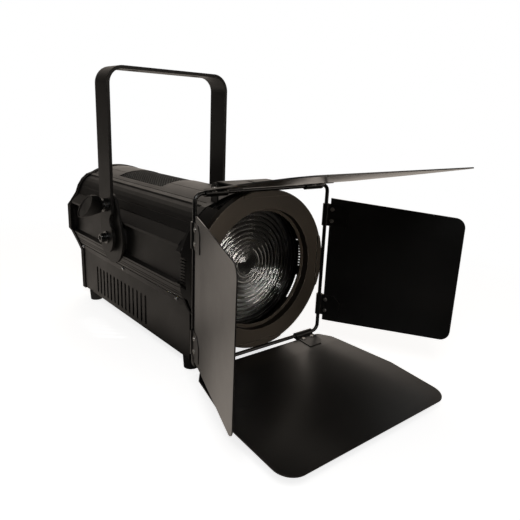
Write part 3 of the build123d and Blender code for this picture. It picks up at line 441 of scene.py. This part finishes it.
def grille_border(half, y0, y1, top, radius):
    """The mesh's plain edge: a thin curved frame."""
    outer = [(-half, y0), (half, y0), (half, y1), (-half, y1)]
    b = MESH_BORDER
    inner = [(-half + b, y0 + b), (half - b, y0 + b), (half - b, y1 - b), (-half + b, y1 - b)]
    bm = bmesh.new()
    rows = []
    sides = zip(outer, outer[1:] + outer[:1], inner, inner[1:] + inner[:1])
    for (ax, ay), (bx, by), (cx, cy), (dx, dy) in sides:
        for i in range(BORDER_STEPS):
            t = i / BORDER_STEPS
            pair = []
            for x, y in ((ax + (bx - ax) * t, ay + (by - ay) * t), (cx + (dx - cx) * t, cy + (dy - cy) * t)):
                z = top - radius + math.sqrt(radius ** 2 - x ** 2)
                pair.append((bm.verts.new((x, y, z)), bm.verts.new((x, y, z - MESH_WIRE))))
            rows.append(pair)
    for one, two in zip(rows, rows[1:] + rows[:1]):
        (oa, ob), (ia, ib) = one
        (oc, od), (ic, id_) = two
        for corners in ((oa, oc, ic, ia), (ob, ib, id_, od), (oa, ob, od, oc), (ia, ic, id_, ib)):
            bm.faces.new(corners)
    bmesh.ops.recalc_face_normals(bm, faces=bm.faces)
    mesh = bpy.data.meshes.new("air_grille_border")
    bm.to_mesh(mesh)
    bm.free()
    new_piece("air_grille_border", mesh, "housing", "grille_coat")


fresnel_lens()
air_grille()


# ---------------------------------------------------------------- floor, light and camera
FLOOR_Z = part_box("feet")[0].z
FLOOR_HALF = 12.0
FLOOR_COLOUR = (0.93, 0.93, 0.93, 1)
FLOOR_LIFT = 0.8
SHADING_ENDS = (0.45, 1.1)
# The floor's patch behind the lamp has a slanting front edge, and the one beside it is a strip. Each value
# is a fade: the places where it starts and ends, then its strengths there where they aren't 0 and 1.
REAR_SLANT = 0.9
REAR_EDGE, REAR_FRONT, REAR_LEFT = (-0.15, 0.12, 0.02, 0.62), (-0.3, -0.05), (-1.6, -1.1, 0.1, 1.0)
STRIP_RIGHT, STRIP_LEFT = (-0.12, -0.18), (-0.28, -0.2)
STRIP_FRONT, STRIP_REAR = (-0.75, -0.15), (0.3, 0.15, 0.0, 0.85)
BACKDROP_TINT = (1.0, 0.89, 0.785, 1)


def floor_material():
    """White to the camera, softly shaded close to the lamp. To other rays, dark with two pale patches.

    The patches stand for the pale backdrop that shines on the lamp from behind and from its left.
    """
    s = Shader("floor_mat")
    flat = s.add("ShaderNodeVectorMath", {"Vector": s.place, 1: (1, 1, 0)}, operation="MULTIPLY").outputs[0]
    distance = s.add("ShaderNodeVectorMath", {"Vector": flat}, operation="LENGTH").outputs["Value"]
    far = s.span(distance, *SHADING_ENDS)
    pale = s.add("ShaderNodeBsdfDiffuse", {"Color": FLOOR_COLOUR}).outputs[0]
    lift = s.add("ShaderNodeEmission", {"Strength": FLOOR_LIFT}).outputs[0]
    near = s.add("ShaderNodeAddShader", {0: pale, 1: lift}).outputs[0]
    white = s.add("ShaderNodeEmission", {"Color": WHITE, "Strength": 1.0}).outputs[0]
    seen = s.add("ShaderNodeMixShader", {0: far, 1: near, 2: white}).outputs[0]
    split = s.add("ShaderNodeSeparateXYZ", {0: s.place}).outputs
    x, y = split["X"], split["Y"]
    slant = s.maths("ADD", y, s.maths("MULTIPLY", x, REAR_SLANT))
    rear = s.maths("MULTIPLY", s.span(slant, *REAR_EDGE), s.span(y, *REAR_FRONT))
    rear = s.maths("MULTIPLY", rear, s.span(x, *REAR_LEFT))
    across = s.maths("MULTIPLY", s.span(x, *STRIP_RIGHT), s.span(x, *STRIP_LEFT))
    along = s.maths("MULTIPLY", s.span(y, *STRIP_FRONT), s.span(y, *STRIP_REAR))
    beside = s.maths("MULTIPLY", across, along)
    patches = {"Color": BACKDROP_TINT, "Strength": s.maths("MAXIMUM", rear, beside)}
    unseen = s.add("ShaderNodeEmission", patches).outputs[0]
    camera_ray = s.add("ShaderNodeLightPath").outputs["Is Camera Ray"]
    both = s.add("ShaderNodeMixShader", {0: camera_ray, 1: unseen, 2: seen}).outputs[0]
    s.tree.links.new(both, s.tree.nodes["Material Output"].inputs["Surface"])
    return s.material


def stage_floor():
    """One large sheet level with the underside of the feet."""
    mesh = bpy.data.meshes.new("floor")
    corners = [(FLOOR_HALF * x, FLOOR_HALF * y, FLOOR_Z) for x, y in ((-1, -1), (1, -1), (1, 1), (-1, 1))]
    mesh.from_pydata(corners, [], [(0, 1, 2, 3)])
    floor = bpy.data.objects.new("floor", mesh)
    bpy.context.scene.collection.objects.link(floor)
    mesh.materials.append(floor_material())


REAR_NODES = ["rear_panel", "display_bezel", "display_window", "menu_button_1", "menu_button_2",
              "menu_button_3", "menu_button_4", "power_sockets", "dmx_sockets", "zoom_knob", "fan_frame",
              "fan_rotor"]
BODY_NODES = ["right_side_panel", "base_tray", "front_casting", "rear_frame", "yoke_strap", "brake_plates",
              "right_lock_knob", "tilt_bosses"]
NEUTRAL = (1, 1, 1)
BODY_AIM, FRONT_AIM, REAR_AIM = (0, -0.1, -0.3), (0, -0.3, -0.3), (0, 0.2, -0.35)
# Each light's place, the point it faces, its width and height in metres, its power in watts and its colour.
LIGHTS = {
    "overhead": ((0.0, 0.5, 1.5), BODY_AIM, 1.6, 1.6, 1.4, NEUTRAL),
    "left_side": ((-1.8, 0.6, 0.2), BODY_AIM, 1.0, 1.4, 0.8, NEUTRAL),
    "key_front": ((-0.6, -0.98, 0.38), FRONT_AIM, 0.35, 0.35, 3.0, NEUTRAL),
    "ring_key": ((-0.35, -0.8, -0.1), FRONT_AIM, 0.2, 0.2, 7.0, (1.0, 0.9, 0.78)),
    "low_front": ((0.75, -1.75, -0.02), BODY_AIM, 1.4, 0.8, 3.6, (1.0, 0.9, 0.8)),
    "lens_spark": ((0.30, -1.5, -0.35), BODY_AIM, 0.7, 0.4, 8.5, (1.0, 0.95, 0.9)),
    "rear_fill": ((-0.6, 2.0, 0.4), REAR_AIM, 1.0, 1.0, 16.0, NEUTRAL),
    "right_side": ((1.9, 0.9, 0.25), BODY_AIM, 1.0, 1.2, 6.0, NEUTRAL),
    "inner_fill": ((0.05, -0.20, -0.23), (0, 0, -0.3), 0.03, 0.03, 0.35, NEUTRAL),
}


def softbox(name, place, target, width, height, power, colour):
    """A rectangular area light that faces its target."""
    light = bpy.data.lights.new(name, "AREA")
    light.shape = "RECTANGLE"
    light.size, light.size_y = width, height
    light.energy = power
    light.color = colour
    obj = bpy.data.objects.new(name, light)
    bpy.context.scene.collection.objects.link(obj)
    obj.location = place
    obj.rotation_euler = (Vector(target) - Vector(place)).to_track_quat("-Z", "Y").to_euler()
    return obj


def only_on(light, objects):
    """Keeps a light's effect to a few objects."""
    receivers = bpy.data.collections.new(light.name + "_receivers")
    for obj in objects:
        receivers.objects.link(obj)
    light.light_linking.receiver_collection = receivers


def studio_lights():
    """The softboxes, some of which reach only the pieces that they are for."""
    lights = {name: softbox(name, *row) for name, row in LIGHTS.items()}
    lights["ring_key"].visible_camera = False
    lights["low_front"].visible_diffuse = False
    inner = lights["inner_fill"]
    inner.visible_camera = inner.visible_transmission = inner.visible_glossy = False
    only_on(lights["ring_key"], [NODES["barndoor_ring"]])
    only_on(lights["lens_spark"], [bpy.data.objects["fresnel_lens_glass"]])
    only_on(lights["rear_fill"], [NODES[name] for name in REAR_NODES])
    only_on(lights["right_side"], [NODES[name] for name in BODY_NODES])


# Fades of the world by direction, written as for the floor.
BACKDROP_REAR, BACKDROP_RIGHT = (0.2, 0.75), (-0.3, 0.4)
WALLS_RISE = (0.2, 1.0, 0.03, 0.08)


def studio_world():
    """White to the camera; to all else a warm backdrop behind the lamp and dim walls round the rest."""
    world = bpy.data.worlds.new("studio")
    bpy.context.scene.world = world
    world.use_nodes = True
    tree = world.node_tree
    tree.nodes.clear()
    link = tree.links.new

    def add(kind, **inputs):
        node = tree.nodes.new(kind)
        for key, value in inputs.items():
            node.inputs[key.replace("_", " ")].default_value = value
        return node

    split = add("ShaderNodeSeparateXYZ")
    link(add("ShaderNodeTexCoord").outputs["Generated"], split.inputs[0])

    def ramp(axis, low, high, to_low=0.0, to_high=1.0, curve="LINEAR"):
        node = add("ShaderNodeMapRange", From_Min=low, From_Max=high, To_Min=to_low, To_Max=to_high)
        node.interpolation_type = curve
        link(split.outputs[axis], node.inputs["Value"])
        return node.outputs["Result"]

    def maths(operation, a, b):
        node = add("ShaderNodeMath")
        node.operation = operation
        link(a, node.inputs[0])
        link(b, node.inputs[1])
        return node.outputs[0]

    rear = ramp("Y", *BACKDROP_REAR, curve="SMOOTHSTEP")
    backdrop = maths("MULTIPLY", rear, ramp("X", *BACKDROP_RIGHT))
    walls = ramp("Z", *WALLS_RISE)
    fill = add("ShaderNodeBackground", Color=BACKDROP_TINT)
    link(maths("ADD", backdrop, walls), fill.inputs["Strength"])
    seen = add("ShaderNodeBackground", Color=WHITE, Strength=1.0)
    mix = add("ShaderNodeMixShader")
    link(add("ShaderNodeLightPath").outputs["Is Camera Ray"], mix.inputs[0])
    link(fill.outputs[0], mix.inputs[1])
    link(seen.outputs[0], mix.inputs[2])
    link(mix.outputs[0], add("ShaderNodeOutputWorld").inputs["Surface"])


CAMERA_PLACE = (-0.4884, -0.8727, -0.0721)
CAMERA_AZIMUTH, CAMERA_ELEVATION, CAMERA_ROLL = -39.9, 15.5, 2.5
CAMERA_LENS, SENSOR_WIDTH = 35.83, 36.0


def photo_camera():
    """The camera at the photo's viewing angle, from the azimuth, elevation and roll above."""
    az, el, roll = (math.radians(v) for v in (CAMERA_AZIMUTH, CAMERA_ELEVATION, CAMERA_ROLL))
    back = Vector((math.sin(az) * math.cos(el), -math.cos(az) * math.cos(el), math.sin(el)))
    right = (-back).cross(Vector((0, 0, 1))).normalized()
    up = right.cross(-back)
    side = right * math.cos(roll) + up * math.sin(roll)
    top = up * math.cos(roll) - right * math.sin(roll)
    camera = bpy.data.cameras.new("camera")
    camera.lens, camera.sensor_width = CAMERA_LENS, SENSOR_WIDTH
    camera.clip_start = 10 * MM
    obj = bpy.data.objects.new("camera", camera)
    bpy.context.scene.collection.objects.link(obj)
    obj.matrix_world = Matrix((side, top, back)).transposed().to_4x4()
    obj.location = CAMERA_PLACE
    bpy.context.scene.camera = obj


stage_floor()
studio_world()
studio_lights()
photo_camera()
bpy.context.scene.view_settings.view_transform = "Standard"
